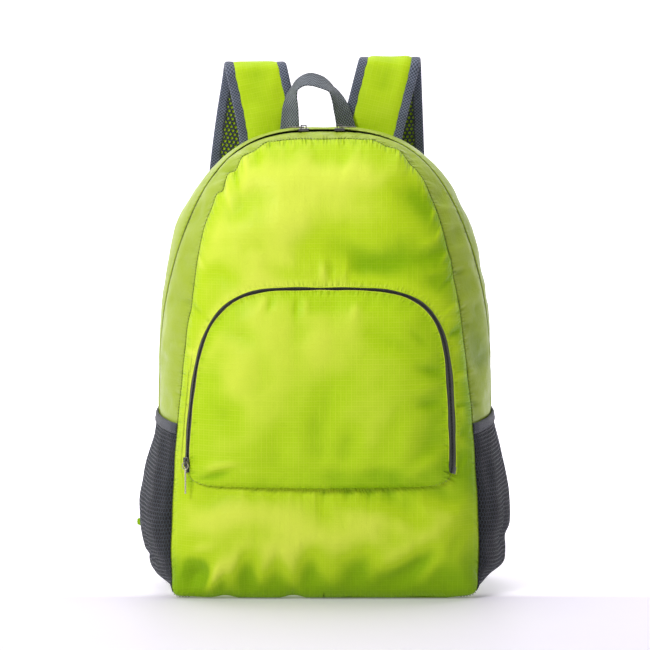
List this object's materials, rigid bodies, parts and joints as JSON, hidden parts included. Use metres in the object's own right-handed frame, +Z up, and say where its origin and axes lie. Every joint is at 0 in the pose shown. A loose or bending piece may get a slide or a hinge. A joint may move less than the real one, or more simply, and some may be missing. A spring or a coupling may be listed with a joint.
{
  "type": "packable backpack",
  "caption": "Thin ripstop backpack with an arched zip front pocket, net side pockets, padded shoulder straps and a webbing haul loop, standing on its base.",
  "frame": {"origin": "middle of the flat underside, on the surface that the bag stands on", "axes": "+X to the right as seen from the front, -Y to the front pocket, +Y to the wearer's back, +Z up"},
  "size_m": [0.337, 0.2026, 0.478],
  "materials": {
    "ripstop": "thin coated ripstop nylon, soft sheen",
    "ripstop_plain": "thin coated nylon, satin",
    "slate_webbing": "woven webbing, matt",
    "slate_binding": "folded woven binding, matt",
    "dark_net": "knitted net, matt",
    "zip_tape": "woven zip tape with a moulded coil",
    "silver_metal": "bright nickel plate",
    "black_plastic": "moulded, satin"
  },
  "bodies": {
    "bag": {"front_panel": "ripstop", "pocket_face": "ripstop", "base_panel": "ripstop", "back_panel": "ripstop_plain", "front_gusset": "ripstop_plain", "back_gusset": "ripstop_plain", "main_zip": "zip_tape", "pocket_zip": "zip_tape", "pocket_slider": "silver_metal", "main_slider_left": "silver_metal", "main_slider_right": "silver_metal", "haul_loop": "slate_webbing", "side_net_left": "dark_net", "side_band_left": "slate_binding", "strap_left": "ripstop", "strap_net_left": "dark_net", "strap_edge_inner_left": "slate_binding", "strap_edge_outer_left": "slate_binding", "adjuster_left": "black_plastic", "webbing_left": "slate_webbing", "anchor_left": "ripstop", "side_net_right": "dark_net", "side_band_right": "slate_binding", "strap_right": "ripstop", "strap_net_right": "dark_net", "strap_edge_inner_right": "slate_binding", "strap_edge_outer_right": "slate_binding", "adjuster_right": "black_plastic", "webbing_right": "slate_webbing", "anchor_right": "ripstop"},
    "pocket_pull": {"pocket_pull": "silver_metal"},
    "main_pull_left": {"main_pull_left": "silver_metal"},
    "main_pull_right": {"main_pull_right": "silver_metal"}
  },
  "joints": [
    {"name": "pocket_pull_hinge", "type": "hinge", "parent": "bag", "child": "pocket_pull", "pos_m": [-0.12215, -0.08303, 0.12357], "axis": [-0.9666, 0.2562, 0], "range_deg": [0, 150]},
    {"name": "main_pull_left_hinge", "type": "hinge", "parent": "bag", "child": "main_pull_left", "pos_m": [-0.01895, -0.01863, 0.41503], "axis": [0, 0.9994, 0.0359], "range_deg": [0, 165]},
    {"name": "main_pull_right_hinge", "type": "hinge", "parent": "bag", "child": "main_pull_right", "pos_m": [0.01293, -0.01863, 0.41526], "axis": [0, -0.9994, -0.0358], "range_deg": [0, 165]}
  ]
}
